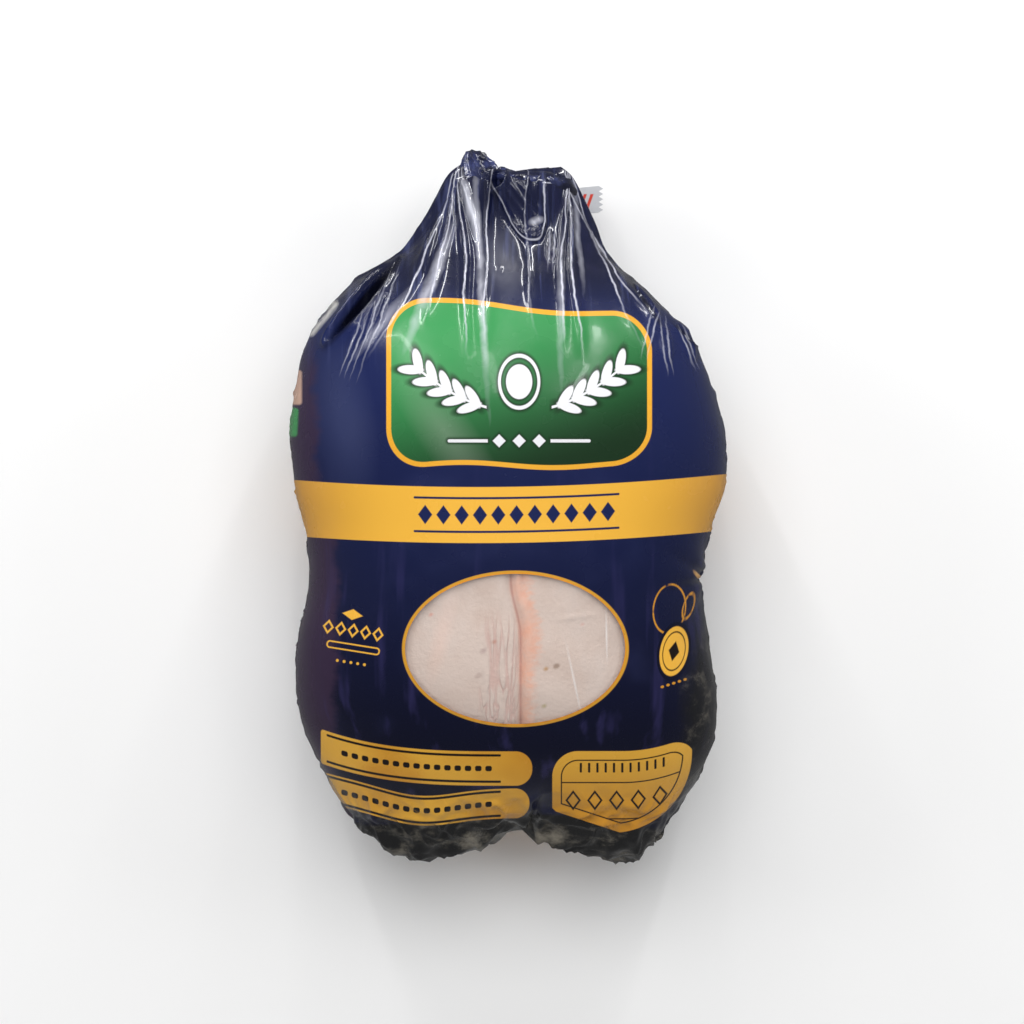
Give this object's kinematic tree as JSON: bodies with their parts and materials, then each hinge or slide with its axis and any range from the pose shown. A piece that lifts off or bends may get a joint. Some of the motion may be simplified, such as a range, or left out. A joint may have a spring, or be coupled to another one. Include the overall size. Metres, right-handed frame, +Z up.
{
  "type": "bagged whole raw chicken",
  "caption": "Whole raw chicken in a gathered printed film bag with an oval window, lying on its back.",
  "frame": {"origin": "centre of the bounding box at the resting plane", "axes": "+Y towards the gathered neck of the bag, +Z up through the shown side, +X to the right of the shown side"},
  "size_m": [0.1524, 0.2491, 0.104],
  "materials": {
    "film": "glossy navy printed film",
    "clear": "glossy clear film",
    "skin": "moist pale raw skin",
    "tape": "matt white tape"
  },
  "bodies": {
    "root": {"bag": "film", "window": "clear", "chicken": "skin", "tape": "tape"}
  },
  "joints": []
}
